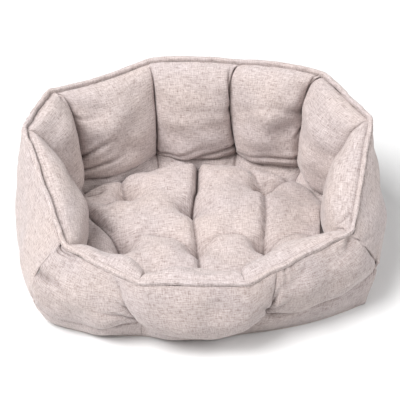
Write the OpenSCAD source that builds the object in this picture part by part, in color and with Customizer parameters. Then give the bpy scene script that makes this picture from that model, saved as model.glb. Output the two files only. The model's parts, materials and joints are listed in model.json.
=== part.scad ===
// Pet cushion bed: ten stuffed wall pillows sewn in a ring round a nest, low across the front,
// with a loose tufted cushion that lifts out. Millimetres, +Z up. The origin is on the floor,
// under the middle of the bed's outline. The front faces -Y.

/* [Rim] */
// Width of the rim between its side corners
rim_w = 464; // [400:4:560]
// Depth of the rim between its front and back corners
rim_d = 360; // [300:4:432]
// Height of the rim along the sides and the back
back_h = 196; // [150:2:240]
// Height of the rim across the front
front_h = 110; // [88:2:140]
// Height of the turned and topstitched edge that runs round the rim
welt_h = 6; // [4:0.5:8]
// Thickness of that edge
welt_t = 6; // [5:0.5:8]

/* [Foot] */
// Width of the foot between its side corners
foot_w = 464; // [400:4:560]
// Depth of the foot between its front and back corners
foot_d = 340; // [290:4:410]
// How far the foot bows out between two corners
foot_bow = 10; // [0:1:16]
// Thickness of a wall where it meets the floor
wall_foot = 48; // [38:1:62]

/* [Wall pillows] */
// How far a pillow swells into the nest at its crown
inner_swell = 25; // [18:1:32]
// How far the inner seams sink into the wall between two pillows
inner_sink = 15; // [6:1:20]
// How far a pillow swells out at its crown
outer_swell = 28; // [18:1:36]
// How far the outer seams stand out between two pillows
outer_seam = 8; // [2:1:14]
// Height of the tack threads that pull the wall together at each corner
tack_h = 58; // [45:1:70]
// Thickness of a tack thread
thread_t = 1.6; // [1:0.1:2.4]

/* [Cloth and floor] */
// Thickness of the linen-look cover cloth
cloth_t = 1.2; // [0.8:0.1:2]
// Thickness of the wadding sheet under the nest
floor_wad_t = 6; // [4:0.5:12]

/* [Cushion] */
// Thickness of the loose cushion
cushion_t = 48; // [36:1:60]
// Radius of the cushion's rounded side, measured in plan
cushion_round = 26; // [16:1:32]
// Room between the cushion and the pillows round it
cushion_room = 4; // [3:0.5:12]

/* [Fit] */
// Clearance between neighbouring soft pieces
gap = 0.3; // [0.2:0.05:0.5]
// Room between the fillings of two neighbouring pillows, where the tack threads pass
thread_room = 3; // [2.6:0.1:4]

/* [Hidden] */

corners = 10;
// Turn of each corner about the middle, from the right side round by the back, in degrees
corner_turn = [10, 44, 73, 105, 143, 170, 222, 250, 282, 323];
// How far each corner of the rim stands out, as a share of the rim's half width and half depth
rim_reach = [0.99, 1.07, 0.99, 1.04, 1.05, 0.98, 0.99, 1.02, 1.03, 1.01];
// The same for the foot, which has its two sharpest corners beside the front
foot_reach = [0.97, 1.00, 0.97, 0.97, 1.00, 0.97, 1.15, 1.00, 0.98, 1.14];
// How high each corner of the rim stands, from 0 at the front to 1 at the back
corner_rise = [1, 1, 1, 1, 1, 1, 0.18, 0, 0, 0.18];
// Where the tuft threads go through the cushion, from the middle of the rim
tuft_at = [[-99, 58], [-10, 23], [93, 62], [-103, -49], [-4, -58], [83, -56]];

// Cells across a pillow and down it
across = 8;
down = 8;
// Steps round one corner of the cushion's outline, and over half of its side
corner_steps = 4;
side_steps = 5;

linen = [0.86, 0.81, 0.79];
linen_shade = [0.80, 0.74, 0.72];
fibre = [0.97, 0.97, 0.96];
thread = [0.74, 0.67, 0.64];

under_welt = welt_h + gap;
floor_z = cloth_t + gap;
lining_z = floor_z + floor_wad_t + gap;
nest_z = lining_z + cloth_t + gap;
bar_tack_l = 7;
bar_tack_t = 1.4;

function pad2(i) = i < 10 ? str("0", i) : str(i);
function wrap(i) = (i + corners) % corners;
function plan(p) = [p[0], p[1]];
function mix(a, b, t) = a + (b - a) * t;
function unit(v) = v / norm(v);
function up(z) = [0, 0, z];
function flat(v) = [v[0], v[1], 0];
function left_of(v) = [-v[1], v[0]];

// Corners of the rim and of the foot, in plan
function on_oval(i, w, d, reach) =
    let (a = corner_turn[wrap(i)]) reach[wrap(i)] * [w / 2 * cos(a), d / 2 * sin(a)];
function rim_corner(i) = on_oval(i, rim_w, rim_d, rim_reach);
function foot_corner(i) = on_oval(i, foot_w, foot_d, foot_reach);
function corner_h(i) = mix(front_h, back_h, corner_rise[wrap(i)]);

// The unit vector into the nest, square to the rim edge after corner i
function edge_in(i) = left_of(unit(rim_corner(i + 1) - rim_corner(i)));
// The mitred vector into the nest at corner i, and along the edge after it
function mitre(i) =
    let (a = edge_in(i - 1), b = edge_in(i)) (a + b) / (1 + a * b);
function into_nest(i, t) = mix(mitre(i), mitre(i + 1), t);

// A point of the rim line and of the foot's outline, t of the way along edge i
function rim_line(i, t) =
    concat(mix(rim_corner(i), rim_corner(i + 1), t),
           [mix(corner_h(i), corner_h(i + 1), t) - under_welt]);
function foot_line(i, t) =
    mix(foot_corner(i), foot_corner(i + 1), t) - into_nest(i, t) * foot_bow * sin(180 * t);

// Steps of equal turn, so that cells are small where a pillow curves most
function eased(k, n) = (1 - cos(180 * k / n)) / 2;
function swell(seam, crown, j, k) =
    mix(seam, crown, sin(180 * j / across)) * sin(180 * k / down);

// A lower wall is thinner, so its pillows swell less
function height_share(i, t) = sqrt(mix(corner_h(i), corner_h(i + 1), t) / back_h);

// Surfaces of the wall at cell corner j across and k down, sunk into the wall by depth.
// margin keeps the ends of a pillow clear of its neighbours.
function inner_skin(i, j, k, depth, margin) =
    let (t = mix(margin, 1 - margin, eased(j, across)), v = eased(k, down),
         n = into_nest(i, t),
         top = rim_line(i, t) + flat(n) * welt_t / 2,
         low = flat(foot_line(i, t) + n * wall_foot) + up(nest_z),
         chord = unit([norm(plan(low - top)), top[2] - low[2]]),
         square_to = flat(n) * chord[1] + up(chord[0]))
    mix(top, low, v) + height_share(i, t) * swell(-inner_sink, inner_swell, j, k) * square_to
        - depth * (k == 0 || k == down ? flat(n) : square_to);
function outer_skin(i, j, k, depth, margin) =
    let (t = mix(margin, 1 - margin, eased(j, across)), v = eased(k, down),
         n = into_nest(i, t),
         top = rim_line(i, t) - flat(n) * welt_t / 2,
         low = flat(foot_line(i, t)) + up(floor_z))
    mix(top, low, v)
        + (depth - height_share(i, t) * swell(outer_seam, outer_swell, j, k)) * flat(n);

// Share of an edge's length that leaves half of width free at each of its ends
function end_share(i, width) = width / 2 / norm(rim_corner(i + 1) - rim_corner(i));

// The bed's outline decides where its middle is
outline = [for (i = [0:corners - 1], j = [0:across], k = [0:down]) outer_skin(i, j, k, 0, 0)];
middle = [for (axis = [0, 1])
    (max([for (p = outline) p[axis]]) + min([for (p = outline) p[axis]])) / 2];

// A solid between two grids of points that share their size, front grid first
module slab(front, back) {
    rows = len(front);
    cols = len(front[0]);
    n = rows * cols;
    function at(r, c) = r * cols + c;
    edge = concat(
        [for (c = [0:cols - 2]) [at(0, c), at(0, c + 1)]],
        [for (r = [0:rows - 2]) [at(r, cols - 1), at(r + 1, cols - 1)]],
        [for (c = [cols - 1:-1:1]) [at(rows - 1, c), at(rows - 1, c - 1)]],
        [for (r = [rows - 1:-1:1]) [at(r, 0), at(r - 1, 0)]]);
    polyhedron(
        points = concat([for (row = front) each row], [for (row = back) each row]),
        faces = concat(
            [for (r = [0:rows - 2], c = [0:cols - 2])
                each [[at(r, c), at(r, c + 1), at(r + 1, c + 1)],
                      [at(r, c), at(r + 1, c + 1), at(r + 1, c)]]],
            [for (r = [0:rows - 2], c = [0:cols - 2])
                each [[n + at(r, c), n + at(r + 1, c + 1), n + at(r, c + 1)],
                      [n + at(r, c), n + at(r + 1, c), n + at(r + 1, c + 1)]]],
            [for (e = edge) each [[e[0], n + e[0], n + e[1]], [e[0], n + e[1], e[1]]]]));
}

// A closed ring swept from sections that share their size
module ring(sections) {
    n = len(sections);
    m = len(sections[0]);
    polyhedron(
        points = [for (s = sections) each s],
        faces = [for (a = [0:n - 1], b = [0:m - 1])
            let (c = (a + 1) % n, d = (b + 1) % m)
            each [[a * m + b, a * m + d, c * m + d], [a * m + b, c * m + d, c * m + b]]]);
}

module inner_panel(i) {
    m = end_share(i, gap);
    color(linen) slab(
        [for (k = [0:down]) [for (j = [0:across]) inner_skin(i, j, k, 0, m)]],
        [for (k = [0:down]) [for (j = [0:across]) inner_skin(i, j, k, cloth_t, m)]]);
}

module outer_panel(i) {
    m = end_share(i, gap);
    color(linen_shade) slab(
        [for (k = [0:down]) [for (j = [0:across]) outer_skin(i, j, k, cloth_t, m)]],
        [for (k = [0:down]) [for (j = [0:across]) outer_skin(i, j, k, 0, m)]]);
}

module wall_filling(i) {
    m = end_share(i, thread_room);
    sunk = cloth_t + gap;
    color(fibre) slab(
        [for (k = [0:down]) [for (j = [0:across]) inner_skin(i, j, k, sunk, m)]],
        [for (k = [0:down]) [for (j = [0:across]) outer_skin(i, j, k, sunk, m)]]);
}

// The turned edge, an octagon in section, that closes the top of every panel
module rim_welt() {
    h = welt_h / 2;
    t = welt_t / 2;
    c = min(h, t) * 0.5;
    section = [[-t, -h + c], [-t + c, -h], [t - c, -h], [t, -h + c],
               [t, h - c], [t - c, h], [-t + c, h], [-t, h - c]];
    color(linen) ring([for (i = [0:corners - 1], s = [0, 0.5])
        [for (q = section)
            rim_line(i, s) + flat(into_nest(i, s)) * q[0] + up(under_welt - h + q[1])]]);
}

// A short bar of stitches over each corner of the rim, on the nest side
module rim_bar_tacks() {
    out = welt_t / 2 + bar_tack_t / 2 + gap;
    color(thread) for (i = [0:corners - 1])
        translate(rim_line(i, 0) + flat(mitre(i)) * out + up(under_welt - bar_tack_l))
            cylinder(h = bar_tack_l, d = bar_tack_t, $fn = 16);
}

// The point of a corner seam at tack height, on the nest side or the outside of the wall
function seam_at_tack(i, nest_side) =
    let (line = [for (k = [0:down]) nest_side ? inner_skin(i, 0, k, cloth_t + gap, 0)
                                              : outer_skin(i, 0, k, cloth_t + gap, 0)],
         low = [for (k = [0:down - 1])
             if (line[k][2] >= tack_h && line[k + 1][2] < tack_h) k][0])
    mix(line[low], line[low + 1], (line[low][2] - tack_h) / (line[low][2] - line[low + 1][2]));

// One thread through the wall at each corner, between two fillings
module wall_tack_threads() {
    color(thread) for (i = [0:corners - 1]) {
        a = seam_at_tack(i, true);
        b = seam_at_tack(i, false);
        run = plan(b - a);
        translate(a)
            rotate([0, 90, atan2(run[1], run[0])])
                translate(up(thread_t / 2))
                    cylinder(h = norm(run) - thread_t, d = thread_t, $fn = 16);
    }
}

module sheet(points, z, t) translate(up(z)) linear_extrude(t) polygon(points);

module base_panel()
    color(linen_shade) sheet(
        [for (i = [0:corners - 1], j = [0:across - 1]) foot_line(i, eased(j, across))], 0, cloth_t);

// The nest floor's outline, inside the foot of the wall
function nest_line(i, t) = foot_line(i, t) + into_nest(i, t) * (wall_foot + gap);
nest_outline = [for (i = [0:corners - 1], j = [0:across - 1]) nest_line(i, eased(j, across))];

module floor_wadding() color(fibre) sheet(nest_outline, floor_z, floor_wad_t);

module floor_lining() color(linen_shade) sheet(nest_outline, lining_z, cloth_t);

// How far the crown of pillow i reaches into the nest from its rim edge, square to the edge
function crown_reach(i) =
    max([for (k = [0:down])
        plan(inner_skin(i, across / 2, k, 0, 0) - rim_line(i, 0.5)) * edge_in(i)]);
// The line that the cushion keeps to beside pillow i, as its distance along edge_in(i)
function keep_off(i) =
    rim_corner(i) * edge_in(i) + crown_reach(wrap(i)) + cushion_room;
function cross2(a, b) = a[0] * b[1] - a[1] * b[0];
// Where the lines beside two neighbouring pillows meet
function cushion_corner(i) =
    let (a = edge_in(i - 1), b = edge_in(i), p = keep_off(i - 1), q = keep_off(i))
    [p * b[1] - q * a[1], q * a[0] - p * b[0]] / cross2(a, b);
function bend(a, b, c, t) = mix(mix(a, b, t), mix(b, c, t), t);
cushion_outline = [for (i = [0:corners - 1], s = [0:corner_steps - 1])
    let (b = cushion_corner(i))
    bend(mix(cushion_corner(i - 1), b, 0.5), b, mix(b, cushion_corner(i + 1), 0.5),
         s / corner_steps)];

// One ring of the cushion, inset from its outline towards its middle
cushion_mid = [0, 0];
function cushion_ring(inset, z) =
    [for (p = cushion_outline)
        concat(p - unit(p - cushion_mid) * inset, [z])];
// Points down the cushion's rounded side, from turn a to turn b, sunk by depth
function cushion_side(a, b, depth) =
    [for (s = [0:side_steps]) let (turn = mix(a, b, s / side_steps))
        cushion_ring(cushion_round - (cushion_round - depth) * cos(turn),
                     nest_z + cushion_t / 2 + (cushion_t / 2 - depth) * sin(turn))];

// A solid from stacked rings that share their size, closed flat at both ends
module stack(rings) {
    n = len(rings);
    m = len(rings[0]);
    polyhedron(
        points = [for (r = rings) each r],
        faces = concat(
            [[for (b = [0:m - 1]) b]],
            [[for (b = [m - 1:-1:0]) (n - 1) * m + b]],
            [for (a = [0:n - 2], b = [0:m - 1]) let (d = (b + 1) % m)
                each [[a * m + b, (a + 1) * m + d, a * m + d],
                      [a * m + b, (a + 1) * m + b, (a + 1) * m + d]]]));
}

// Half of the cushion's cover, folded back on itself at the seam round its side
module cushion_cover(top) {
    sign = top ? 1 : -1;
    seam = asin(gap / cushion_t);
    outer = cushion_side(sign * 90, sign * seam, 0);
    inner = cushion_side(sign * seam, sign * 90, cloth_t);
    rings = concat(outer, inner);
    stack(top ? rings : [for (k = [len(rings) - 1:-1:0]) rings[k]]);
}

module cushion_top() color(linen) cushion_cover(true);

module cushion_bottom() color(linen_shade) cushion_cover(false);

// Upright round bars at every tuft, from below to above the cushion's middle by h / 2
module at_tufts(h, d)
    for (p = tuft_at)
        translate(concat(p, [nest_z + cushion_t / 2]))
            cylinder(h = h, d = d, center = true, $fn = 16);

module cushion_filling()
    color(fibre) difference() {
        stack(cushion_side(90, -90, cloth_t + gap));
        at_tufts(cushion_t, thread_t + 2 * gap);
    }

// Threads that pull the two faces of the cushion together
module cushion_tufts() color(thread) at_tufts(cushion_t - 2 * (cloth_t + gap), thread_t);

translate([-middle[0], -middle[1], 0]) {
    for (i = [0:corners - 1]) {
        inner_panel(i);
        outer_panel(i);
        wall_filling(i);
    }
    rim_welt();
    rim_bar_tacks();
    wall_tack_threads();
    base_panel();
    floor_wadding();
    floor_lining();
    cushion_top();
    cushion_bottom();
    cushion_filling();
    cushion_tufts();
}
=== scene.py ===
import json

import bpy
import numpy as np
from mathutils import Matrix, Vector

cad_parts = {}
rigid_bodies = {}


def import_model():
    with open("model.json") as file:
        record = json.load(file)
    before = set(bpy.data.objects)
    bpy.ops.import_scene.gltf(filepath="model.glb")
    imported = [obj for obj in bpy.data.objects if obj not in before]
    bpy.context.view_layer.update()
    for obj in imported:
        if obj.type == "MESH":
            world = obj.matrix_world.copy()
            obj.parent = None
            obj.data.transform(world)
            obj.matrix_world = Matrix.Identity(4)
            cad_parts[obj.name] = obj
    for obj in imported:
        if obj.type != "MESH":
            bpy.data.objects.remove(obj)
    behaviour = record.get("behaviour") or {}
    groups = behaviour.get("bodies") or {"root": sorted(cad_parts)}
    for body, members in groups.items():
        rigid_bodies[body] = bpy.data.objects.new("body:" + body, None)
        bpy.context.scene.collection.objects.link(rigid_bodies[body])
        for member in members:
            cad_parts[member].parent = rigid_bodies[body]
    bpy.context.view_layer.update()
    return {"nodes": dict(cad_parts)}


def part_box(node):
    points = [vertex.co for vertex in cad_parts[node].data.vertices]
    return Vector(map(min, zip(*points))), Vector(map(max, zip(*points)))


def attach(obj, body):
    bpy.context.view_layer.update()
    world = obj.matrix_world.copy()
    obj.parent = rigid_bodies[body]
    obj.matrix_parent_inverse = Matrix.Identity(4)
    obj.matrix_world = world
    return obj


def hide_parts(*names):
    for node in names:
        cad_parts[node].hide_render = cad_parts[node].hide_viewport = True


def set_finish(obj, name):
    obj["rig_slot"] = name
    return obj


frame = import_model()

# ---------------------------------------------------------------- sizes, in metres
MM = 0.001
PANELS = 10
ACROSS = 30           # cells across one wall pillow
UPPER = 26            # cells down the part of a pillow above its tacks
LOWER = 12            # cells down the part below them
WELT_H = 6 * MM       # height of the turned edge along the rim
WELT_HALF = 2.6 * MM  # half of its thickness
CLOTH = 1.2 * MM      # thickness of the cover cloth
WALL_FOOT = 48 * MM   # about how wide the wall is at its foot
FIBRE_IN = 3.2 * MM   # how far the wall's filling stays inside its cloth
FIBRE_ROW = 3         # the row of cells under the rim where that filling starts

# How far each rim edge arches up, or sags where it is below zero, between its corners
RIM_ARCH = np.array([0, 6, 4, -6, 2, 0, -2, 0, 2, 0]) * MM
# Swell of the upper part of each pillow on the nest side and outside, and of every lower part
INNER_UPPER = np.array([34, 29, 28, 30, 33, 37, 30, 27, 30, 36]) * MM
OUTER_UPPER = np.array([19, 22, 23, 20, 15, 17, 19, 25, 22, 19]) * MM
INNER_LOWER, OUTER_LOWER = 8 * MM, 4 * MM
# How tightly the cloth on both sides of each seam closes over it
INNER_PINCH = np.array([0.8, 0.9, 0.95, 0.95, 0.9, 0.8, 0.4, 0.25, 0.25, 0.4])
OUTER_PINCH = np.array([0.7, 0.7, 0.7, 0.7, 0.6, 0.4, 0, 0.6, 0.9, 0.2])
# How full each seam stays instead of drawing in, and how much less each outer tack pulls
OUTER_FULL = np.array([0, 0, 0, 0, 2, 3, 19, 10, 6, 9]) * MM
INNER_FULL = np.array([3, 0, 0, 0, 0, 4, 14, 20, 20, 13]) * MM
OUTER_EASE = np.array([0, 0, 0, 0, 2, 4, 28, 2, 1, 7]) * MM
# How far the fold between two tacks droops, and stands out from them
INNER_DROOP = np.array([3, 1, 1, 1, 3, 6, 8, 8, 8, 6]) * MM
INNER_FOLD_OUT = np.full(PANELS, 21) * MM
OUTER_DROOP = np.array([17, 17, 17, 17, 17, 24, 32, 34, 18, 18]) * MM
OUTER_FOLD_OUT = np.array([11, 11, 11, 11, 11, 9, 9, 16, 13, 11]) * MM
# How much deeper than its seam a tack pulls the cloth in
TACK_PULL = 6 * MM
# How far each inner seam bends along the ring below the rim
INNER_KINK = np.array([0, 14, 15, -3, -12, 0, 0, 0, 0, 0]) * MM
# Where each outer seam meets the rim, in shares of a rim edge past its corner, and how far its
# tack lies past the corner along the ring
OUTER_SEAM = np.array([0, 0, 0, 0, 0, 0, -0.04, -0.30, 0.27, -0.03])
OUTER_TACK = np.array([0, 0, 0, 0, 0, 0, -4, 7, 20, 20]) * MM

rng = np.random.default_rng(7)


# ---------------------------------------------------------------- the frame's own places
def points_of(node):
    mesh = frame["nodes"][node].data
    co = np.empty(len(mesh.vertices) * 3)
    mesh.vertices.foreach_get("co", co)
    return np.unique(co.reshape(-1, 3).round(6), axis=0)


def turn_of(p):
    return np.degrees(np.arctan2(p[..., 1], p[..., 0])) % 360


def in_corners(points):
    """Splits a ring of separate small solids into one point set for each corner, by turn."""
    points = points[np.argsort(turn_of(points))]
    cuts = np.argsort(np.diff(turn_of(points)))[-(PANELS - 1):] + 1
    return np.split(points, sorted(cuts))


def outline_of(node):
    """The corners of a flat sheet's outline, in order by turn."""
    flat = np.unique(points_of(node)[:, :2].round(5), axis=0)
    return flat[np.argsort(turn_of(flat))]


welt_points = points_of("rim_welt")
RIM = []
for bar in in_corners(points_of("rim_bar_tacks")):
    away = np.linalg.norm(welt_points[:, :2] - bar[:, :2].mean(0), axis=1)
    x, y, _ = welt_points[np.argsort(away)[:8]].mean(0)
    RIM.append([x, y, bar[:, 2].max()])
RIM = np.array(RIM)
threads = in_corners(points_of("wall_tack_threads"))
TACK_IN = np.array([t[np.argmin(np.linalg.norm(t[:, :2], axis=1))] for t in threads])
TACK_OUT = np.array([t[np.argmax(np.linalg.norm(t[:, :2], axis=1))] for t in threads])
TACK_IN[:, 2] = TACK_OUT[:, 2] = np.mean([t[:, 2].mean() for t in threads])

base_outline = outline_of("base_panel")
STEP = len(base_outline) // PANELS
first = int(np.argmin(np.abs(turn_of(base_outline) - turn_of(RIM[0]))))
FOOT = np.roll(base_outline, -first, axis=0)
nest_outline = outline_of("floor_lining")
corner = FOOT[::STEP]
guess = corner * (1 - WALL_FOOT / np.linalg.norm(corner, axis=1))[:, None]
first = min(range(len(nest_outline)),
            key=lambda k: np.sum((np.roll(nest_outline, -k, axis=0)[::STEP] - guess) ** 2))
NEST = np.roll(nest_outline, -first, axis=0)
NEST_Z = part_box("floor_lining")[1][2]


def unit(v):
    return v / np.maximum(np.linalg.norm(v, axis=-1, keepdims=True), 1e-12)


edge = unit(np.roll(RIM, -1, axis=0)[:, :2] - RIM[:, :2])
inward = np.stack([-edge[:, 1], edge[:, 0]], axis=1)
before = np.roll(inward, 1, axis=0)
MITRE = (before + inward) / (1 + np.sum(before * inward, axis=1))[:, None]


def mix(a, b, t):
    return a + (b - a) * t


def ring_at(values, t):
    """Values at the corners, linear between them. t counts corners round the ring."""
    values = np.asarray(values).reshape(PANELS, -1)
    i = np.floor(t).astype(int)
    s = (t - i)[:, None]
    return mix(values[i % PANELS], values[(i + 1) % PANELS], s)


def rim_at(t):
    """The rim's top line, with its arches."""
    p = ring_at(RIM, t)
    i = np.floor(t).astype(int)
    p[:, 2] += RIM_ARCH[i % PANELS] * np.sin(np.pi * (t - i)) ** 0.7
    return p


def outline_at(outline, i, s):
    """A foot or nest outline at shares s of edge i, through its own points."""
    pts = outline[(i * STEP + np.arange(STEP + 1)) % len(outline)]
    share = (1 - np.cos(np.pi * np.arange(STEP + 1) / STEP)) / 2
    return np.stack([np.interp(s, share, pts[:, k]) for k in range(2)], axis=1)


def noise(seed, size, waves=14):
    """A smooth random field of about unit height whose lumps are about size across."""
    r = np.random.default_rng(seed)
    ways = unit(r.normal(size=(waves, 3))) * r.uniform(0.6, 1.5, (waves, 1)) * 2 * np.pi / size
    phase = r.uniform(0, 2 * np.pi, waves)
    return lambda p: np.sin(np.asarray(p) @ ways.T + phase).sum(-1) * (2 / waves) ** 0.5


# ---------------------------------------------------------------- wall pillows
TURN = np.pi * np.arange(ACROSS) / ACROSS
SHARE = (1 - np.cos(TURN)) / 2
CROWN = np.sin(TURN)


def patch(top, low, swell, cells, away, fall=0.92, boxy=0.65):
    """A stuffed patch between two curves, which swells square to the line between them.
    swell is its height along the curves, fall says how low its fullest part lies, and a
    smaller boxy makes its face flatter and its edges rounder."""
    v = np.linspace(0, 1, cells + 1)[:, None]
    v = 0.6 * (1 - np.cos(np.pi * v)) / 2 + 0.4 * v
    chord = low - top
    out = np.c_[away, np.zeros(len(top))]
    side = unit(np.cross(chord, np.cross(out, chord)))
    full = np.sin(np.pi * v ** fall) ** boxy * swell[None]
    return top[None] + chord[None] * v[..., None] + side[None] * full[..., None], v


def skin(i, inner):
    """Rows by columns of one skin of wall pillow i, from the rim down."""
    start, end = (i, i + 1) if inner else (i + OUTER_SEAM[i], i + 1 + OUTER_SEAM[(i + 1) % PANELS])
    t = mix(start, end, SHARE)
    away = ring_at(MITRE, t) * (1 if inner else -1)
    top = rim_at(t) + np.c_[away * WELT_HALF, np.full(ACROSS, -WELT_H)]
    tacks = (TACK_IN if inner else TACK_OUT).copy()
    along = np.stack([MITRE[:, 1], -MITRE[:, 0]], axis=1)
    if not inner:
        tacks[:, :2] += along * OUTER_TACK[:, None] - MITRE * OUTER_EASE[:, None]
    square = ring_at(MITRE, i + SHARE) * (1 if inner else -1)
    tack = ring_at(tacks, i + SHARE)
    tack[:, :2] -= square * TACK_PULL
    droop, out = (INNER_DROOP, INNER_FOLD_OUT) if inner else (OUTER_DROOP, OUTER_FOLD_OUT)
    fold = tack + np.c_[square * (out[i] * CROWN ** 0.8)[:, None], -droop[i] * CROWN]
    foot = outline_at(NEST if inner else FOOT, i, SHARE)
    low = np.c_[foot, np.full(ACROSS, (NEST_Z if inner else 0) + CLOTH)]
    ends = ring_at(INNER_FULL if inner else OUTER_FULL, i + SHARE)[:, 0]
    swell = mix(ends, (INNER_UPPER if inner else OUTER_UPPER)[i], CROWN ** (0.55 if inner else 0.7))
    upper, v = patch(top, fold, swell, UPPER, square, *((0.85, 0.45) if inner else (1.25, 0.65)))
    if inner:
        kink = ring_at(along * INNER_KINK[:, None], i + SHARE) * (1 - 0.8 * CROWN)[:, None]
        upper[..., :2] += np.sin(np.pi * np.sqrt(v))[..., None] * kink[None]
    bulge = np.full(ACROSS, INNER_LOWER if inner else OUTER_LOWER)
    lower, _ = patch(fold, low, bulge, LOWER, square)
    return np.concatenate([upper, lower[1:]])


ROWS = UPPER + LOWER + 1
COLS = PANELS * ACROSS
SEAMS = np.arange(PANELS) * ACROSS


def grid_faces(rows, cols, flip=False, start=0, closed=False):
    """Quads of a grid of points, row by row. A closed grid joins its last column to its first."""
    r, c = np.meshgrid(np.arange(rows - 1), np.arange(cols if closed else cols - 1), indexing="ij")
    d = (c + 1) % cols
    quads = np.stack([r * cols + c, (r + 1) * cols + c, (r + 1) * cols + d, r * cols + d], -1)
    quads = quads.reshape(-1, 4) + start
    return (quads[:, ::-1] if flip else quads).tolist()


def inflate(points, faces, pins, loose, frames, pressure, grow, bend=0.25):
    """Lets cloth swell under the pressure of its filling and gives back where its points end.
    pins hold points, and loose says where more cloth is gathered, both from 0 to 1."""
    mesh = bpy.data.meshes.new("cloth")
    mesh.from_pydata(points.tolist(), [], faces)
    cloth = bpy.data.objects.new("cloth", mesh)
    bpy.context.scene.collection.objects.link(cloth)
    for name, weights in (("pins", pins), ("loose", loose)):
        group = cloth.vertex_groups.new(name=name)
        weights = weights.round(1)
        for weight in np.unique(weights[weights > 0]):
            group.add(np.flatnonzero(weights == weight).tolist(), float(weight), "REPLACE")
    modifier = cloth.modifiers.new("cloth", "CLOTH")
    settings = modifier.settings
    settings.quality = 6
    settings.mass = 0.3
    settings.tension_stiffness = 15
    settings.compression_stiffness = 15
    settings.shear_stiffness = 5
    settings.bending_stiffness = bend
    settings.air_damping = 1
    settings.use_pressure = True
    settings.uniform_pressure_force = pressure
    settings.shrink_min = -grow[0]
    settings.shrink_max = -grow[1]
    settings.vertex_group_shrink = "loose"
    settings.vertex_group_mass = "pins"
    settings.effector_weights.gravity = 0
    modifier.collision_settings.use_collision = False
    modifier.point_cache.frame_start = 1
    modifier.point_cache.frame_end = frames
    for f in range(1, frames + 1):
        bpy.context.scene.frame_set(f)
    result = cloth.evaluated_get(bpy.context.evaluated_depsgraph_get()).data
    moved = np.empty(len(result.vertices) * 3)
    result.vertices.foreach_get("co", moved)
    bpy.data.objects.remove(cloth)
    bpy.data.meshes.remove(mesh)
    bpy.context.scene.frame_set(1)
    return moved.reshape(-1, 3)


def finer(grid, times):
    """A grid with times as many cells each way, on smooth curves through its points."""
    for axis in (0, 1):
        g = np.moveaxis(grid, axis, 0)
        n = len(g)
        ends = np.concatenate([[2 * g[0] - g[1]], g, [2 * g[-1] - g[-2]]])
        t = np.arange((n - 1) * times + 1) / times
        k = np.minimum(t.astype(int), n - 2)
        f = (t - k).reshape((-1,) + (1,) * (g.ndim - 1))
        a, b, c, d = (ends[k + j] for j in range(4))
        g = 0.5 * (2 * b + (c - a) * f + (2 * a - 5 * b + 4 * c - d) * f ** 2
                   + (3 * b - a - 3 * c + d) * f ** 3)
        grid = np.moveaxis(g, 0, axis)
    return grid


def normals_of(grid):
    """Unit normals of a grid of points, along rows cross columns."""
    return unit(np.cross(np.gradient(grid, axis=0), np.gradient(grid, axis=1)))


lumps = noise(3, 70 * MM)
skins = []
for inner in (True, False):
    ring = np.concatenate([skin(i, inner) for i in range(PANELS)], axis=1)
    free = np.minimum(1, np.linspace(0, 1, ROWS) * (1 - np.linspace(0, 1, ROWS)) * 8)[:, None]
    free = free * np.tile(CROWN, PANELS)[None]
    push = lumps(ring * [1, 1, 1.6]) * 1.8 * MM * free
    ring += normals_of(ring) * push[..., None]
    skins.append(ring)
skins = np.stack(skins)

pins = np.zeros((2, ROWS, COLS))
pins[:, 0] = pins[:, -1] = 1
pins[0, :UPPER + 1, SEAMS] = 1
pins[1, :UPPER + 1, SEAMS] = 0.3
pins[:, UPPER, SEAMS] = 1
side = np.tile(1 - CROWN, PANELS)[None]
down = np.arange(ROWS)[:, None]
near_tack = np.exp(-np.abs(down - UPPER) / 5) * np.maximum(side, 0.25)
near_rim = np.exp(-down / 3) * 0.5 + 0 * side
loose = np.clip(near_tack * 1.2 + near_rim + 0.8 * side ** 2, 0, 1)
faces = (grid_faces(ROWS, COLS, True, 0, True)
         + grid_faces(ROWS, COLS, False, ROWS * COLS, True))
moved = inflate(skins.reshape(-1, 3), faces, pins.ravel(),
                np.stack([loose, loose]).ravel(), 24, 3.0, (0.0, 0.10), 1.0)
skins = moved.reshape(2, ROWS, COLS, 3)


PINCH_REACH = 8 * MM  # how near a seam the cloth closes over it


def pinch(ring, tight):
    """Closes the cloth of neighbouring pillows over the seam between them, down to the tacks."""
    rows_down = np.arange(ROWS)
    weight = np.clip(rows_down / 4, 0, 1) * np.clip((UPPER + 4 - rows_down) / 5, 0, 1)
    made = ring.copy()
    for j in range(PANELS):
        way = np.append(unit(np.array([MITRE[j, 1], -MITRE[j, 0]])), 0)
        seam = ring[:, SEAMS[j]]
        for k in range(-12, 13):
            col = (SEAMS[j] + k) % COLS
            d = (made[:, col] - seam) @ way
            made[:, col] -= np.outer(d * 0.8 * tight[j] * weight * np.exp(-(d / PINCH_REACH) ** 2), way)
    return made


EARS = (6, 9)         # corners where the base seam stands out in a small ear
EVEN = 14 * MM        # length over which the skirt below the tacks evens out
SOFT_CORNER = 6       # the corner where the outer seam lies flat and the wall just rounds
SOFT_REACH = 30 * MM  # how far to each side it rounds
EAR_REACH = 16 * MM   # how far to each side of an ear the skirt keeps its shape


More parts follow.
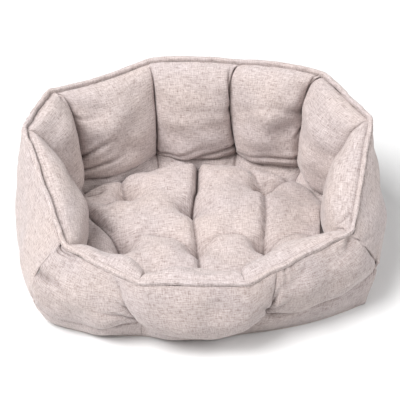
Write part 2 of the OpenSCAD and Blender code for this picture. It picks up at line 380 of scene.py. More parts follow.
def evened(ring):
    """Takes the corners out of the skirt below the tacks, apart from the two ears, and rounds
    the wall above it at its soft corner."""
    made = ring.copy()
    for r in range(2, ROWS):
        row = ring[r]
        step = np.linalg.norm(np.roll(row, -1, axis=0) - row, axis=1)
        place = np.r_[0, np.cumsum(step)]
        cell = (step + np.roll(step, 1)) / 2
        gap = np.abs(place[:-1, None] - place[None, :-1])
        gap = np.minimum(gap, place[-1] - gap)
        even = EVEN if r > UPPER + 1 else 1.3 * EVEN
        weight = np.exp(-(gap / even) ** 2) * cell[None]
        smooth = weight @ row / weight.sum(1, keepdims=True)
        share = 0.6 * min(1, r / 6) * np.exp(-(gap[SEAMS[SOFT_CORNER]] / SOFT_REACH) ** 2)
        if r > UPPER + 1:
            share = np.full(COLS, min(1.0, (r - UPPER - 1) / 5))
            for ear in EARS:
                share *= 1 - np.exp(-(gap[SEAMS[ear]] / EAR_REACH) ** 2)
        made[r, :, :2] = mix(row, smooth, share[:, None])[:, :2]
    return made


skins = np.stack([pinch(skins[0], INNER_PINCH), evened(pinch(skins[1], OUTER_PINCH))])


# ---------------------------------------------------------------- meshes
def add_piece(name, points, faces, uvs, node=None, body="bed", slot="linen_cover", painted_crease_shade=None):
    """A finished mesh piece that stands for a CAD node. Its crease values are painted shade:
    how far each point's colour darkens towards the cover's shade colour in seams and folds, from 0 to
    1."""
    mesh = bpy.data.meshes.new(name)
    mesh.from_pydata(np.asarray(points).tolist(), [], faces)
    mesh.update()
    layer = mesh.uv_layers.new(name="cloth")
    loops = np.empty(len(mesh.loops), dtype=np.int64)
    mesh.loops.foreach_get("vertex_index", loops)
    layer.data.foreach_set("uv", np.asarray(uvs)[loops].ravel())
    mesh.polygons.foreach_set("use_smooth", [True] * len(mesh.polygons))
    values = np.zeros(len(mesh.vertices)) if painted_crease_shade is None else np.clip(painted_crease_shade, 0, 1)
    mesh.attributes.new("painted_crease_shade", "FLOAT", "POINT").data.foreach_set("value", values)
    mesh.set_sharp_from_angle(angle=1.2)
    piece = bpy.data.objects.new(name, mesh)
    bpy.context.scene.collection.objects.link(piece)
    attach(piece, body)
    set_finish(piece, slot)
    if node:
        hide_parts(*([node] if isinstance(node, str) else node))
    return piece


def slab(front, back, flip=False):
    """Points and faces of a closed solid between two grids that share their size."""
    rows, cols = front.shape[:2]
    n = rows * cols
    at = np.arange(n).reshape(rows, cols)
    loop = np.concatenate([at[:-1, 0], at[-1, :-1], at[:0:-1, -1], at[0, :0:-1]])
    ahead = np.roll(loop, -1)
    rim = np.stack([loop, loop + n, ahead + n, ahead], -1)
    rim = (rim[:, ::-1] if flip else rim).tolist()
    faces = grid_faces(rows, cols, flip) + grid_faces(rows, cols, not flip, n) + rim
    return np.concatenate([front.reshape(-1, 3), back.reshape(-1, 3)]), faces


def twice(uv):
    """One set of cloth places for both faces of a slab."""
    return np.concatenate([uv, uv])


def lengths(points):
    """How far along a line each of its points lies."""
    return np.concatenate([[0], np.cumsum(np.linalg.norm(np.diff(points, axis=0), axis=1))])


def cloth_uv(grid):
    """Places on the cloth in metres, across by the crown's row and down by its column."""
    u = lengths(grid[grid.shape[0] // 3])
    v = lengths(grid[:, grid.shape[1] // 2])
    return np.stack(np.meshgrid(u, -v), axis=-1).reshape(-1, 2)


def off_line(xy, line):
    """Distance from points to a broken line, and the share of it where each lies nearest."""
    best, where = np.full(xy.shape[:-1], 9.0), np.zeros(xy.shape[:-1])
    for k, (a, b) in enumerate(zip(line, line[1:])):
        s = np.clip(((xy - a) @ (b - a)) / ((b - a) @ (b - a)), 0, 1)
        d = np.linalg.norm(xy - a - s[..., None] * (b - a), axis=-1)
        where = np.where(d < best, (k + s) / (len(line) - 1), where)
        best = np.minimum(d, best)
    return best, where


FINE = 3
# Folds that the filling presses into single pillows: depth and width in mm, then points as
# shares of the pillow across and down. Each is deepest at its first point and fades to its last.
FOLDS = {
    "inner_01": [(2, 2.2, [(0.98, 0.02), (0.93, 0.04), (0.86, 0.14)])],
    "inner_02": [(2.4, 3, [(0.03, 0.56), (0.27, 0.56), (0.57, 0.59), (0.95, 0.62)]),
                 (2.5, 2.5, [(0.02, 0.36), (0.10, 0.39), (0.20, 0.44)]),
                 (1.2, 6, [(0.04, 0.29), (0.5, 0.26), (0.95, 0.33)]),
                 (2, 2.2, [(0.17, 0.01), (0.12, 0.08), (0.05, 0.2)])],
    "inner_03": [(2.5, 3, [(0.98, 0.6), (0.86, 0.65), (0.66, 0.62), (0.4, 0.52)]),
                 (2.8, 3, [(0.04, 0.56), (0.2, 0.57), (0.43, 0.62), (0.7, 0.72), (0.95, 0.76)]),
                 (2.5, 2.2, [(0.99, 0.03), (0.96, 0.08), (0.97, 0.2)]),
                 (4, 3, [(0.05, 0.28), (0.18, 0.14), (0.2, 0.02)]),
                 (1.2, 6, [(0.04, 0.32), (0.5, 0.31), (0.96, 0.36)])],
    "inner_04": [(4.5, 3.2, [(0.97, 0.49), (0.9, 0.47), (0.73, 0.42), (0.55, 0.37)]),
                 (4, 3, [(0.96, 0.57), (0.86, 0.56), (0.68, 0.53), (0.45, 0.49)]),
                 (1.5, 3, [(0.95, 0.22), (0.8, 0.24), (0.6, 0.24)])],
    "inner_05": [(3, 2.6, [(0.02, 0.02), (0.16, 0.08), (0.14, 0.2)]),
                 (2.5, 2.6, [(0.02, 0.08), (0.07, 0.14), (0.1, 0.28)])],
    "inner_10": [(2.5, 2.6, [(0.25, 0.01), (0.17, 0.04), (0.12, 0.14)]),
                 (1.5, 2.4, [(0.05, 0.05), (0.09, 0.13), (0.08, 0.22)])],
    "outer_07": [(3, 3.4, [(0.97, 0.66), (0.88, 0.4), (0.76, 0.24)]),
                 (3, 3.6, [(0.97, 0.68), (0.8, 0.48), (0.6, 0.4)]),
                 (2.5, 3.0, [(0.99, 0.62), (0.94, 0.4), (0.95, 0.26)]),
                 (3, 3.6, [(0.97, 0.7), (0.8, 0.66), (0.58, 0.62)]),
                 (3.5, 2.6, [(0.02, 0.02), (0.2, 0.05), (0.42, 0.03)]),
                 (2.5, 2.6, [(0.12, 0.1), (0.3, 0.08), (0.5, 0.06)]),
                 (2, 7, [(0.05, 0.34), (0.3, 0.3), (0.52, 0.36)])],
    "outer_08": [(3, 3.6, [(0.03, 0.66), (0.14, 0.55), (0.3, 0.46)]),
                 (3, 3.6, [(0.03, 0.68), (0.2, 0.66), (0.4, 0.66)]),
                 (3, 3.4, [(0.97, 0.66), (0.82, 0.5), (0.66, 0.42)]),
                 (2.5, 3.2, [(0.98, 0.6), (0.86, 0.4), (0.78, 0.26)]),
                 (3, 3.6, [(0.97, 0.7), (0.82, 0.68), (0.6, 0.68)])],
    "outer_09": [(3.5, 3.2, [(0.03, 0.67), (0.12, 0.39), (0.18, 0.2)]),
                 (3, 3.4, [(0.03, 0.68), (0.18, 0.48), (0.3, 0.38)]),
                 (3, 3.8, [(0.04, 0.7), (0.28, 0.73), (0.45, 0.77)]),
                 (2, 4, [(0.84, 0.06), (0.7, 0.16), (0.58, 0.22)]),
                 (2, 2.4, [(0.2, 0.01), (0.23, 0.14), (0.2, 0.28)]),
                 (1.5, 7, [(0.9, 0.08), (0.74, 0.2), (0.55, 0.44)])],
    "outer_10": [(3, 3.4, [(0.02, 0.66), (0.1, 0.48), (0.24, 0.34)]),
                 (1.5, 3.4, [(0.05, 0.14), (0.13, 0.2), (0.3, 0.3)]),
                 (2.5, 3.6, [(0.03, 0.68), (0.18, 0.62), (0.36, 0.6)])],
}
puckers = noise(11, 9 * MM)
ripple = noise(12, 16 * MM)


def folded(grid, uv, folds, wider=0.0, ridge=0.4):
    """How far each point of a pillow sinks in its folds, with a soft ridge beside each."""
    rows, cols = grid.shape[:2]
    flat = uv.reshape(rows, cols, 2)
    sunk = np.zeros((rows, cols))
    for depth, width, line in folds:
        s, r = np.array(line).T
        on_cloth = np.stack([np.interp(s, np.linspace(0, 1, cols), flat[0, :, 0]),
                             np.interp(-r, np.linspace(-1, 0, rows), flat[::-1, 0, 1])], -1)
        d, where = off_line(flat, on_cloth)
        d = d / (width * MM + wider)
        across = np.exp(-d ** 2) - ridge * np.exp(-(d - 2.4) ** 2 / 1.6)
        sunk += depth * MM * (1 - where ** 2) * across
    return sunk


def seam_and_fold_shade_of(grid, uv, folds, i, tight):
    """How much painted shade darkens each point of pillow i, from 0 to 1: in and beside its seams,
    under the rim and in its folds.
    """
    rows, cols = grid.shape[:2]
    u, v = uv[:, 0].reshape(rows, cols), -uv[:, 1].reshape(rows, cols)
    share = np.linspace(0, 1, rows)[:, None]
    down = np.clip(share * 10, 0, 1) * np.clip((UPPER / (ROWS - 1) + 0.08 - share) * 12, 0, 1)
    start, end = tight[i], tight[(i + 1) % PANELS]
    left = start * np.exp(-(u / SEAM_SHADE) ** 2)
    right = end * np.exp(-((u[:, -1:] - u) / SEAM_SHADE) ** 2)
    near = np.exp(-(np.minimum(u, u[:, -1:] - u) / SEAM_GLOOM) ** 2)
    near = near * mix(start, end, u / u[:, -1:])
    shade = (left + right + 0.22 * near) * down + 0.35 * np.exp(-(v / RIM_SHADE) ** 2)
    return (shade + folded(grid, uv, folds, -1.2 * MM, 0) / FOLD_SHADE).ravel()


# How wide the painted shade line is in a seam, the painted gloom beside it, and the painted
# shade line under the rim, and how deep a fold has to be to be painted as dark as a seam
SEAM_SHADE, SEAM_GLOOM, RIM_SHADE, FOLD_SHADE = 3.2 * MM, 9 * MM, 1.6 * MM, 5 * MM


def painted_front_shade(grid):
    """How much painted shade darkens the cover on the outside of the low front and the left, from 0 to
    1.
    """
    way = unit(grid * [1, 1, 0])
    return 0.20 * np.clip(way @ [0.35, -0.94, 0], 0, 1) ** 2 + 0.06 * np.clip(-way[..., 0], 0, 1)


# Height of the small gathers under the rim, along a seam and round a tack, and how far they reach
RIM_GATHER, RIM_GATHER_REACH = 0.5 * MM, 9 * MM
SEAM_GATHER, SEAM_GATHER_REACH = 0.6 * MM, 10 * MM
PUCKER, PUCKER_REACH, PUCKER_START = 0.8 * MM, 20 * MM, 6 * MM


def detail(grid, uv, folds, tacks, sign):
    """Folds, and small gathers under the rim, along the seams and round the tacks."""
    normal = normals_of(grid) * sign
    rows, cols = grid.shape[:2]
    below = lengths(grid[:, cols // 2])[:, None]
    across = lengths(grid[rows // 3])
    beside = np.minimum(across, across[-1] - across)[None]
    offset = RIM_GATHER * np.exp(-below / RIM_GATHER_REACH) * ripple(grid * [1, 1, 0.2])
    at_seam = SEAM_GATHER * np.exp(-beside / SEAM_GATHER_REACH)
    offset = offset + at_seam * ripple(grid * [0.2, 0.2, 1.2])
    for tack in tacks:
        d = grid - tack
        r = np.linalg.norm(d, axis=-1)
        way = unit(np.array([-tack[1], tack[0], 0.0]))
        phi = np.arctan2(d[..., 2], d @ way)
        rays = np.cos(7 * phi + 3 * puckers(tack)) + 0.6 * np.cos(12 * phi + 5 * ripple(tack))
        fade = np.exp(-r / PUCKER_REACH) * (1 - np.exp(-r / PUCKER_START))
        offset = offset + PUCKER * rays * fade
    offset = offset - folded(grid, uv, folds)
    offset = offset * np.minimum(1, beside / (3 * MM)) * np.minimum(1, below / (2 * MM))
    return grid + normal * offset[..., None]


for i in range(PANELS):
    cols = np.arange(i * ACROSS, (i + 1) * ACROSS + 1) % COLS
    cloths, sinks = [], []
    for kind, ring, sign in (("inner", skins[0], -1), ("outer", skins[1], 1)):
        cloths.append(ring[:, cols])
        tacks = [ring[UPPER, SEAMS[j]] for j in (i, (i + 1) % PANELS)
                 if sign < 0 or j != SOFT_CORNER]
        grid = finer(cloths[-1], FINE)
        uv = cloth_uv(grid)
        folds = FOLDS.get(f"{kind}_{i + 1:02d}", [])
        painted_crease_shade = seam_and_fold_shade_of(grid, uv, folds, i, INNER_PINCH if sign < 0 else OUTER_PINCH)
        # Painted shade makes the outside of the low front and the left darker
        if sign > 0:
            painted_crease_shade = np.maximum(painted_crease_shade, painted_front_shade(grid).ravel())
        grid = detail(grid, uv, folds, tacks, sign)
        sinks.append(folded(cloths[-1], cloth_uv(cloths[-1]), folds, 3 * MM, 0)[..., None])
        points, faces = slab(grid, grid - normals_of(grid) * CLOTH * sign, sign < 0)
        uv = uv + rng.uniform(0, 5, 2)
        cover = add_piece(f"{kind}_cloth_{i + 1:02d}", points, faces, twice(uv),
                          f"{kind}_panel_{i + 1:02d}", painted_crease_shade=np.r_[painted_crease_shade, painted_crease_shade])
    inset = np.minimum(FIBRE_IN, 0.3 * np.linalg.norm(cloths[1] - cloths[0], axis=-1))[..., None]
    a, b = ((g + normals_of(g) * (inset + sink) * way)[FIBRE_ROW:, 1:-1]
            for g, sink, way in zip(cloths, sinks, (1, -1)))
    points, faces = slab(a, b, True)
    add_piece(f"wall_fibre_{i + 1:02d}", points, faces, points[:, :2],
              f"wall_filling_{i + 1:02d}", slot="fibre_filling")

# ---------------------------------------------------------------- the rim's turned edge
WELT_CELLS = 36
t = np.concatenate([i + np.linspace(0, 1, WELT_CELLS, endpoint=False) for i in range(PANELS)])
line = rim_at(t)
for _ in range(3):
    line = (np.roll(line, 1, axis=0) + 2 * line + np.roll(line, -1, axis=0)) / 4
away = -ring_at(MITRE, t)
wander = noise(21, 45 * MM)(line)[:, None]
line[:, :2] += away * wander * 0.5 * MM
# Half of the turned edge's section, sideways and up, from its foot to its top
HALF_SECTION = [(2.3, -7), (3.0, -5.2), (3.1, -3.2), (2.9, -1.4), (2.0, -0.3)]
WELT_SECTION = np.array([(-x, z) for x, z in HALF_SECTION] + [(0, 0.1)]
                        + HALF_SECTION[::-1] + [(0, -7.4)]) * MM
plump = 1 + 0.10 * noise(22, 12 * MM)(line)[:, None]
rings = (line[:, None] + np.concatenate(
    [away[:, None] * (WELT_SECTION[:, 0] * plump)[..., None],
     np.repeat(WELT_SECTION[None, :, 1:], len(line), 0)], axis=2))
u = lengths(line)
v = lengths(np.c_[WELT_SECTION, np.zeros(len(WELT_SECTION))])
uv = np.stack(np.meshgrid(u, v, indexing="ij"), -1).reshape(-1, 2)
m = len(WELT_SECTION)
faces = []
for a in range(len(line)):
    here, ahead = a * m, (a + 1) % len(line) * m
    for b in range(m):
        up = (b + 1) % m
        faces.append((here + b, ahead + b, ahead + up, here + up))
add_piece("rim_welt_cloth", rings.reshape(-1, 3), faces, uv, "rim_welt")


def stitches(starts, ends, thick):
    """One mesh of short thread stitches, each a small closed spindle from start to end."""
    points, faces = [], []
    for a, b in zip(starts, ends):
        way = unit(b - a)
        side = unit(np.cross(way, [0.3, 0.2, 1.0]))
        over = np.cross(way, side)
        k = len(points)
        points.append(a)
        for s in (0.2, 0.8):
            for c, d in ((1, 0), (0, 1), (-1, 0), (0, -1)):
                points.append(mix(a, b, s) + (side * c + over * d) * thick / 2)
        points.append(b)
        for j in range(4):
            n = (j + 1) % 4
            faces.append((k, k + 1 + n, k + 1 + j))
            faces.append((k + 9, k + 5 + j, k + 5 + n))
            faces.append((k + 1 + j, k + 1 + n, k + 5 + n, k + 5 + j))
    return np.array(points), faces


# Topstitching along both sides of the turned edge, and a short bar across it at each corner
STITCH_PITCH, STITCH_LENGTH, THREAD = 4.2 * MM, 3.0 * MM, 0.7 * MM
STITCH_OUT, STITCH_DOWN = 3.2 * MM, 5.0 * MM
BAR_FOOT, BAR_TOP, BAR_DROP = 3.3 * MM, 2.2 * MM, 6 * MM
total = lengths(np.r_[line, line[:1]])
marks = np.arange(0, total[-1] - STITCH_PITCH / 2, STITCH_PITCH)


def on_line(s, values):
    closed = np.r_[values, values[:1]]
    return np.stack([np.interp(s, total, closed[:, k]) for k in range(closed.shape[1])], 1)


starts, ends = [], []
for side in (-1, 1):
    for s, where in ((marks, starts), (marks + STITCH_LENGTH, ends)):
        beside = np.c_[on_line(s, away) * side * STITCH_OUT, np.full(len(s), -STITCH_DOWN)]
        where.append(on_line(s, line) + beside)
bar_turns = np.arange(PANELS) * WELT_CELLS
for k in bar_turns:
    out = np.r_[away[k], 0]
    for dx in (-0.5, 0.5):
        shift = np.r_[-away[k][1], away[k][0], 0] * dx * MM
        starts.append((line[k] - out * BAR_FOOT + shift - [0, 0, BAR_DROP])[None])
        ends.append((line[k] - out * BAR_TOP + shift - [0, 0, 0.2 * MM])[None])
points, faces = stitches(np.concatenate(starts), np.concatenate(ends), THREAD)
add_piece("rim_stitches", points, faces, points[:, :2], "rim_bar_tacks", slot="sewing_thread")

# The threads that draw the wall together, with a small cross stitch over each dimple
a, b = skins[0, UPPER, SEAMS], skins[1, UPPER, SEAMS]
out = unit(b - a)
CROSS_ARM, TACK_THREAD = 2.4 * MM, 1.1 * MM
starts, ends = [a - out * 0.6 * MM], [b + out * 0.6 * MM]
for p, sign in ((a, -1), (b, 1)):
    for arm in (CROSS_ARM, -CROSS_ARM):
        starts.append(p + out * sign * 0.8 * MM)
        ends.append(p + out * sign * 0.9 * MM + np.array([0, 0, arm]))
points, faces = stitches(np.concatenate(starts), np.concatenate(ends), TACK_THREAD)
add_piece("wall_tack_threads_drawn", points, faces, points[:, :2], "wall_tack_threads",
          slot="sewing_thread")


# ---------------------------------------------------------------- flat cloths under the nest
def disc(rows, cols):
    """A square grid of points bent into a unit disc."""
    u, v = np.meshgrid(np.linspace(-1, 1, cols), np.linspace(-1, 1, rows))
    return u * np.sqrt(1 - v ** 2 / 2), v * np.sqrt(1 - u ** 2 / 2)


def reach_of(outline, x, y):
    """How far an outline lies from the origin in the direction of each point x, y."""
    turns = turn_of(outline)
    order = np.argsort(turns)
    return np.interp(turn_of(np.stack([x, y], -1)), turns[order],
                     np.linalg.norm(outline[order], axis=1), period=360)


def fill_outline(outline, rows, cols):
    x, y = disc(rows, cols)
    r = reach_of(outline, x, y)
    return np.stack([x * r, y * r], -1)


def flat_cloth(name, outline, low, node):
    """A flat cloth that fills an outline and lies on the height low."""
    flat = fill_outline(outline, 40, 48)
    top = np.dstack([flat, np.full(flat.shape[:2], low + CLOTH)])
    under = np.dstack([flat, np.full(flat.shape[:2], low)])
    points, faces = slab(top, under, True)
    return add_piece(name, points, faces, twice(flat.reshape(-1, 2)), node, slot="base_cloth")


for name, outline, low, node in (
        ("base_cloth", skins[1, -1, :, :2], 0.0, "base_panel"),
        ("nest_floor_cloth", skins[0, -1, :, :2], NEST_Z - CLOTH, "floor_lining")):
    cloth = flat_cloth(name, outline, low, node)

# ---------------------------------------------------------------- the loose cushion
C_ROWS, C_COLS = 54, 66      # points of the cushion's grid, across and along
C_FINE = 3                   # how many times finer its cloth is drawn
SEAM_Z = NEST_Z + 16 * MM    # height of the seam round it
CUSHION_H = 41 * MM          # how far its top stands over that seam
TUFT_Z = NEST_Z + 15 * MM    # how low a tuft pulls the top
TUFT_WIDE = 13 * MM          # how wide its dimple is
MIDDLE_DEEPER = 5 * MM       # how much lower the middle tuft of the back row pulls
EDGE_BULGE = 0.12            # how much the side stands out past the seam
ROOM = 1.0 * MM              # gap to the wall
TUFT_APART = 10 * MM         # points nearer than this belong to one tuft
FIBRE_GAP = 2 * MM           # how far its filling stays inside its cloth

wall = finer(skins[0], 2).reshape(-1, 3)
wall_turn, wall_reach = turn_of(wall), np.linalg.norm(wall[:, :2], axis=1)
BIN = 4                      # degrees
HEIGHTS = np.arange(10, 100, 6) * MM
limits = np.full((len(HEIGHTS), 360 // BIN), 1.0)
for h, z in enumerate(HEIGHTS):
    level = np.abs(wall[:, 2] - z) < 6 * MM
    for k in range(limits.shape[1]):
        off = np.abs((wall_turn[level] - k * BIN + 180) % 360 - 180)
        close = wall_reach[level][off < BIN]
        limits[h, k] = close.min() if len(close) else 1.0


def room_at(p):
    """How far from the middle a cushion point may lie in its own direction and at its height."""
    turn = turn_of(p) / BIN
    k = np.floor(turn).astype(int)
    s = turn - k
    h = np.clip((p[..., 2] - HEIGHTS[0]) / (HEIGHTS[1] - HEIGHTS[0]), 0, len(HEIGHTS) - 1.001)
    g = h.astype(int)
    n = limits.shape[1]
    a = mix(limits[g, k % n], limits[g, (k + 1) % n], s)
    b = mix(limits[g + 1, k % n], limits[g + 1, (k + 1) % n], s)
    return mix(a, b, h - g) - ROOM


def tucked(p):
    """Points drawn in to where the wall pillows leave room."""
    r = np.maximum(np.linalg.norm(p[..., :2], axis=-1), 1e-9)
    share = np.minimum(1, room_at(p) / r)[..., None]
    return np.concatenate([p[..., :2] * share, p[..., 2:]], -1)


tuft_points = points_of("cushion_tufts")
TUFTS = []
for p in tuft_points:
    if all(np.hypot(*(p[:2] - q)) > TUFT_APART for q in TUFTS):
        near = np.hypot(*(tuft_points[:, :2] - p[:2]).T) < TUFT_APART
        TUFTS.append(tuft_points[near, :2].mean(0))
back_row = sorted((q for q in TUFTS if q[1] > 0), key=lambda q: q[0])
front_row = sorted((q for q in TUFTS if q[1] < 0), key=lambda q: q[0])
(BL, BM, BR), (FL, FM, FR) = back_row, front_row


def at(x, y):
    return np.array([x, y]) * MM


# The cushion's creases: their points, depth and width
CREASES = [
    ([BM, at(-1, 60), at(3, 116)], 11, 5),
    ([BM, FM], 6, 5), ([FM, at(-4, -128)], 7, 6),
    ([BR, at(90, 0), FR], 6, 5), ([FR, at(86, -118)], 5, 6),
    ([at(-162, 28), FL], 8, 7), ([FL, at(-112, -104)], 4, 8),
    ([BR, at(146, 84)], 7, 6), ([BR, at(72, 108)], 4, 6),
    ([FL, at(-77, -36), at(-39, -41), FM], 4, 5),
    ([FM, at(22, -43), at(49, -40), FR], 4, 5),
    ([FR, at(128, -44), at(152, -52)], 4, 6),
    ([at(-172, 46), at(-133, 60)], 6, 6),
    ([at(-108, 96), BL, at(-124, 30)], 5, 7),
    ([at(-148, 8), at(-118, -22)], 4, 6),
]


x, y = disc(C_ROWS, C_COLS)
share = np.hypot(x, y)
turns = np.arange(0, 360, BIN)
edge_reach = limits[2:6].mean(0) - ROOM
for _ in range(2):
    edge_reach = (np.roll(edge_reach, 1) + 2 * edge_reach + np.roll(edge_reach, -1)) / 4
r = np.interp(turn_of(np.stack([x, y], -1)), turns, edge_reach, period=360)
r = r * (1 + EDGE_BULGE * np.sin(np.pi * np.minimum(share, 1) ** 6))
plan_xy = np.stack([x * r, y * r], -1)
dome = np.sqrt(np.clip(1 - share ** 9, 0, 1))
height = SEAM_Z + CUSHION_H * dome * (1 + 0.04 * noise(41, 60 * MM)(np.dstack([plan_xy, 0 * x])))
holds = np.zeros(x.shape)
for line_points, depth, width in CREASES:
    d, _ = off_line(plan_xy, line_points)
    height -= depth * MM * np.exp(-(d / (width * MM)) ** 2) * dome
    holds = np.maximum(holds, 0.5 * (d < 3 * MM))
for q in (BL, BM, BR, FL, FM, FR):
    d = np.linalg.norm(plan_xy - q, axis=-1)
    deep = TUFT_Z - (MIDDLE_DEEPER if q is BM else 0)
    height = np.minimum(height, mix(height, deep, np.exp(-(d / TUFT_WIDE) ** 1.3)))
    holds.flat[np.argmin(d)] = 1
holds[0] = holds[-1] = holds[:, 0] = holds[:, -1] = 1
cushion_rest = np.dstack([plan_xy, height])
cushion = cushion_rest
from_tuft = [np.linalg.norm(plan_xy - q, axis=-1) for q in TUFTS]
loose = np.clip(sum(np.exp(-d / (25 * MM)) for d in from_tuft), 0, 1)
moved = inflate(cushion_rest.reshape(-1, 3), grid_faces(C_ROWS, C_COLS, True),
                holds.ravel(), loose.ravel(), 22, 4.0, (0.01, 0.10), 0.6)
cushion = moved.reshape(C_ROWS, C_COLS, 3)
cushion = tucked(cushion)
under = np.dstack([plan_xy * (1 - 0.03 * share ** 4)[..., None],
                   NEST_Z + 0.5 * MM + (SEAM_Z - NEST_Z) * share ** 14])
under[0], under[-1], under[:, 0], under[:, -1] = (
    cushion[0], cushion[-1], cushion[:, 0], cushion[:, -1])

top = finer(cushion, C_FINE)
rest = finer(cushion_rest, C_FINE)
sunk = np.zeros(top.shape[:2])
CREASE_HALF, CREASE_SHADE = 2.6 * MM, 1.9 * MM
LIP, GROOVE = 8 * MM, 13 * MM
# Painted shade: the cushion's cover is painted a touch darker than the wall's, and more on the
# cushion's right, near the right wall
shade = 0.04 + 0.08 * np.clip(rest[..., 0] / (50 * MM) - 1.4, 0, 1)
# Painted shade darkens the cover along each crease, in each tuft's pit and in the groove round the
# middle tuft's lip
for line_points, depth, width in CREASES:
    d, where = off_line(rest[..., :2], line_points)
    sunk = np.maximum(sunk, 0.45 * depth * MM * np.exp(-(d / CREASE_HALF) ** 1.3))
    fade = np.sin(np.pi * where) ** 0.8 if len(line_points) == 4 else 1
    shade = np.maximum(shade, fade * min(1, depth / 11) * np.exp(-(d / CREASE_SHADE) ** 2))
for q in TUFTS:
    way = rest[..., :2] - q
    d = np.linalg.norm(way, axis=-1)
    phi = np.arctan2(way[..., 1], way[..., 0])
    rays = np.cos(7 * phi + 40 * q[0]) + 0.6 * np.cos(11 * phi + 90 * q[1])
    sunk += PUCKER * rays * np.exp(-d / (16 * MM)) * (1 - np.exp(-d / (5 * MM)))
    shade = np.maximum(shade, np.exp(-(d / ((5 if q is BM else 3.5) * MM)) ** 2))
    # A lip of cloth curls round the front left of the middle tuft
    if q is BM:
        lip = np.clip(np.cos(phi + 2.2), 0, 1) ** 0.5
        sunk -= 1.5 * MM * lip * np.exp(-((d - LIP) / (2.4 * MM)) ** 2)
        sunk += 1.6 * MM * lip * np.exp(-((d - GROOVE) / (1.9 * MM)) ** 2)
        shade = np.maximum(shade, 0.45 * lip * np.exp(-((d - GROOVE) / (1.5 * MM)) ** 2))
sunk += 0.15 * MM * noise(43, 14 * MM)(top)
inside = np.clip((1 - finer(share[..., None], C_FINE)[..., 0]) * 20, 0, 1)
top[..., 2] -= sunk * inside
points, faces = slab(top, top + normals_of(top) * CLOTH, True)
piece = add_piece("cushion_top_cloth", points, faces, twice(rest[..., :2].reshape(-1, 2)),
                  "cushion_top", "cushion", painted_crease_shade=np.tile(shade.ravel(), 2))
points, faces = slab(under, under - normals_of(under) * CLOTH)
piece = add_piece("cushion_bottom_cloth", points, faces, twice(plan_xy.reshape(-1, 2)),
                  "cushion_bottom", "cushion")
a, b = cushion[1:-1, 1:-1].copy(), under[1:-1, 1:-1].copy()
low = top[..., 2].copy()
for _ in range(4):
    for axis in (0, 1):
        low = np.minimum(low, np.minimum(np.roll(low, 1, axis), np.roll(low, -1, axis)))
a[..., 2] = low[::C_FINE, ::C_FINE][1:-1, 1:-1] - FIBRE_GAP
b[..., 2] = np.minimum(b[..., 2] + FIBRE_GAP, a[..., 2] - 0.5 * MM)
near_edge = share[1:-1, 1:-1, None] ** 7
a[..., :2] *= 1 - 0.10 * near_edge
b[..., :2] *= 1 - 0.08 * near_edge
points, faces = slab(a, b, True)
add_piece("cushion_fibre", points, faces, points[:, :2], "cushion_filling", "cushion",
          "fibre_filling")
TUFT_THREAD, TUFT_BAR = 1.2 * MM, 2.2 * MM
starts, ends = [], []
for q in TUFTS:
    d = np.linalg.norm(rest[..., :2] - q, axis=-1)
    p = top.reshape(-1, 3)[np.argmin(d)]
    starts += [np.r_[q, NEST_Z + 1 * MM], p + [-TUFT_BAR, 0, 0.6 * MM]]
    ends += [p, p + [TUFT_BAR, 0, 0.6 * MM]]
points, faces = stitches(starts, ends, TUFT_THREAD)
add_piece("cushion_tuft_threads", points, faces, points[:, :2], "cushion_tufts", "cushion",
          "sewing_thread")


# ---------------------------------------------------------------- materials
def linear(colour):
    """An sRGB hex colour as linear light."""
    c = np.array([int(colour[k:k + 2], 16) for k in (0, 2, 4)]) / 255
    return (*np.where(c > 0.04045, ((c + 0.055) / 1.055) ** 2.4, c / 12.92), 1)


def add(tree, kind, inputs=(), **settings):
    """Adds a node with its settings, and sets or links its inputs."""
    made = tree.nodes.new(kind)
    for key, value in settings.items():
        setattr(made, key, value)
    for key, value in dict(inputs).items():
        if isinstance(value, bpy.types.NodeSocket):
            tree.links.new(value, made.inputs[key])
        else:
            made.inputs[key].default_value = value
    return made


def material(name):
    made = bpy.data.materials.new(name)
    made.use_nodes = True
    tree = made.node_tree
    return made, tree, tree.nodes["Principled BSDF"]


def streaks(tree, place, scale, detail=2.0):
    """Noise drawn out along one thread direction: scale is its lumps per metre each way."""
    stretched = add(tree, "ShaderNodeVectorMath", {0: place, 1: (*scale, 0)}, operation="MULTIPLY")
    return add(tree, "ShaderNodeTexNoise", {"Vector": stretched.outputs[0], "Scale": 1.0,
                                            "Detail": detail, "Roughness": 0.6}).outputs[0]


def blend_of(tree, a, b, share):
    made = add(tree, "ShaderNodeMix", {0: share, 2: a, 3: b}, data_type="FLOAT")
    return made.outputs[0]


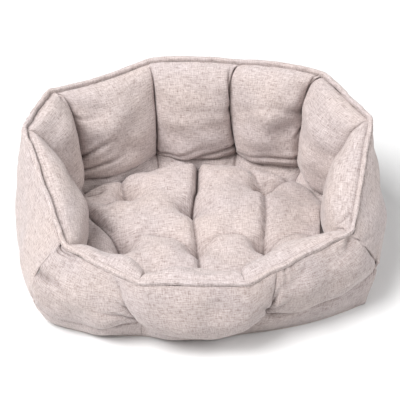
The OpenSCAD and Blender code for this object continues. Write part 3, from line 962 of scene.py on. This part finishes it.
def linen(name, dark, mid, light, fold):
    """Linen-look cloth, plain woven from uneven yarns: dull and slightly fuzzy, with short
    streaks along both threads, flecks where they cross, and a faint drift of tone. The fold
    colour is painted shade, mixed in where the seams and folds are painted dark.
    A real thread is about 0.7 mm and too fine to show, so its streaks are drawn as 1.3 mm wide
    and 9 to 11 mm long, and the flecks as under 2 mm. The scales are streaks per metre."""
    made, tree, bsdf = material(name)
    place = add(tree, "ShaderNodeUVMap", uv_map="cloth").outputs[0]
    weft = streaks(tree, place, (90, 780))
    warp = streaks(tree, place, (780, 115))
    fleck = streaks(tree, place, (560, 600), 3)
    cloud = streaks(tree, place, (11, 13))
    thread = blend_of(tree, blend_of(tree, weft, warp, 0.45), fleck, 0.25)
    ramp = add(tree, "ShaderNodeValToRGB", {0: thread})
    ramp.color_ramp.elements[0].position = 0.36
    ramp.color_ramp.elements[1].position = 0.64
    ramp.color_ramp.elements[0].color = linear(dark)
    ramp.color_ramp.elements[1].color = linear(light)
    ramp.color_ramp.elements.new(0.5).color = linear(mid)
    tint = add(tree, "ShaderNodeValToRGB", {0: cloud})
    tint.color_ramp.elements[0].position = 0.35
    tint.color_ramp.elements[1].position = 0.65
    tint.color_ramp.elements[0].color = (0.98, 0.975, 0.99, 1)
    tint.color_ramp.elements[1].color = (1.025, 1.0, 0.98, 1)
    colour = add(tree, "ShaderNodeVectorMath", {0: ramp.outputs[0], 1: tint.outputs[0]},
                 operation="MULTIPLY")
    # Painted shade: the colour darkens towards the fold colour as far as the painted shade attribute
    # says
    painted_crease_shade = add(tree, "ShaderNodeAttribute", attribute_name="painted_crease_shade").outputs["Fac"]
    deep = add(tree, "ShaderNodeMix", {0: painted_crease_shade, 6: colour.outputs[0], 7: linear(fold)},
               data_type="RGBA")
    tree.links.new(deep.outputs[2], bsdf.inputs["Base Color"])
    bump = add(tree, "ShaderNodeBump", {"Height": thread, "Distance": 0.0012, "Strength": 0.5})
    tree.links.new(bump.outputs[0], bsdf.inputs["Normal"])
    bsdf.inputs["Roughness"].default_value = 0.92
    bsdf.inputs["Sheen Weight"].default_value = 0.25
    bsdf.inputs["Sheen Roughness"].default_value = 0.5
    bsdf.inputs["Specular IOR Level"].default_value = 0.2
    return made


def plain(name, dark, light, scale, distance, rough):
    """A dull material with a fine grain. The scale is lumps per metre each way."""
    made, tree, bsdf = material(name)
    place = add(tree, "ShaderNodeTexCoord").outputs["Object"]
    grain = streaks(tree, place, scale, 4)
    mixed = add(tree, "ShaderNodeValToRGB", {0: grain})
    mixed.color_ramp.elements[0].position = 0.35
    mixed.color_ramp.elements[1].position = 0.65
    mixed.color_ramp.elements[0].color = linear(dark)
    mixed.color_ramp.elements[1].color = linear(light)
    tree.links.new(mixed.outputs[0], bsdf.inputs["Base Color"])
    bump = add(tree, "ShaderNodeBump", {"Height": grain, "Distance": distance, "Strength": 0.5})
    tree.links.new(bump.outputs[0], bsdf.inputs["Normal"])
    bsdf.inputs["Roughness"].default_value = rough
    return made


# The cover's cloth is a pinkish grey heather; its dark brown fold colour is painted shade for its seams
# and folds
COVER = linen("heathered_linen", "8F807C", "BCB0AD", "D5CBC9", "3E2A27")
# The cloth under the cushion and the bed is the same weave, but warmer and without much contrast
LINING = linen("plain_lining_linen", "A8978F", "C4B6AF", "D6CAC4", "3E2A27")
# Blown polyester filling: white, soft and quite dull, in tufts of about 8 mm
FIBRE = plain("polyester_fibre", "E4E4E0", "FAFAF7", (120, 120), 0.002, 0.95)
# Spun sewing thread in the cover's colour, a little smoother than the cloth, with a 1 mm twist
THREAD_MATERIAL = plain("linen_thread", "B0A29D", "CFC3BF", (900, 900), 0.0003, 0.7)
BY_SLOT = {"linen_cover": COVER, "base_cloth": LINING, "fibre_filling": FIBRE,
           "sewing_thread": THREAD_MATERIAL}
for piece in bpy.context.scene.objects:
    if piece.type != "MESH":
        continue
    slot = piece.get("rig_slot")
    if slot:
        piece.data.materials.clear()
        piece.data.materials.append(BY_SLOT[slot])
for slot in frame["nodes"]["floor_wadding"].material_slots:
    slot.material = FIBRE

# ---------------------------------------------------------------- stage, light and camera
bpy.ops.object.select_all(action="DESELECT")
bpy.ops.mesh.primitive_plane_add(size=16, location=(0, 0, -0.0004))
floor = bpy.context.object
floor.name = "floor"
made, _, bsdf = material("pale_floor")
bsdf.inputs["Base Color"].default_value = (0.8, 0.8, 0.8, 1)
bsdf.inputs["Roughness"].default_value = 0.9
floor.data.materials.append(made)

eye = Vector((-0.0547, -1.2034, 1.0972))
look = Vector((0.0353, 0.7652, -0.6428))
camera = bpy.data.cameras.new("camera")
camera.lens = 106.05
camera.sensor_width = 36
view = bpy.data.objects.new("camera", camera)
view.location = eye
view.rotation_euler = look.to_track_quat("-Z", "Y").to_euler()
bpy.context.scene.collection.objects.link(view)
bpy.context.scene.camera = view


def lamp(name, place, size, power):
    light = bpy.data.lights.new(name, "AREA")
    light.shape = "RECTANGLE"
    light.size, light.size_y = size
    light.energy = power
    made = bpy.data.objects.new(name, light)
    made.location = place
    made.rotation_euler = (Vector((0, 0, 0.08)) - Vector(place)).to_track_quat("-Z", "Y").to_euler()
    bpy.context.scene.collection.objects.link(made)


lamp("left_high", (-2.0, -0.9, 3.6), (2.0, 2.0), 212)
lamp("left", (-3.4, -0.4, 2.4), (2.2, 2.2), 20)
lamp("front_left", (-2.4, -2.4, 2.6), (2.2, 2.2), 26)
lamp("right", (3.2, -1.0, 2.6), (2.2, 2.2), 82)
lamp("overhead", (0.2, 0.0, 4.2), (3.0, 3.0), 14)
world = bpy.data.worlds.new("studio")
bpy.context.scene.world = world
world.use_nodes = True
world.node_tree.nodes["Background"].inputs[0].default_value = (1, 1, 1, 1)
world.node_tree.nodes["Background"].inputs[1].default_value = 0.18
bpy.context.scene.view_settings.view_transform = "Standard"
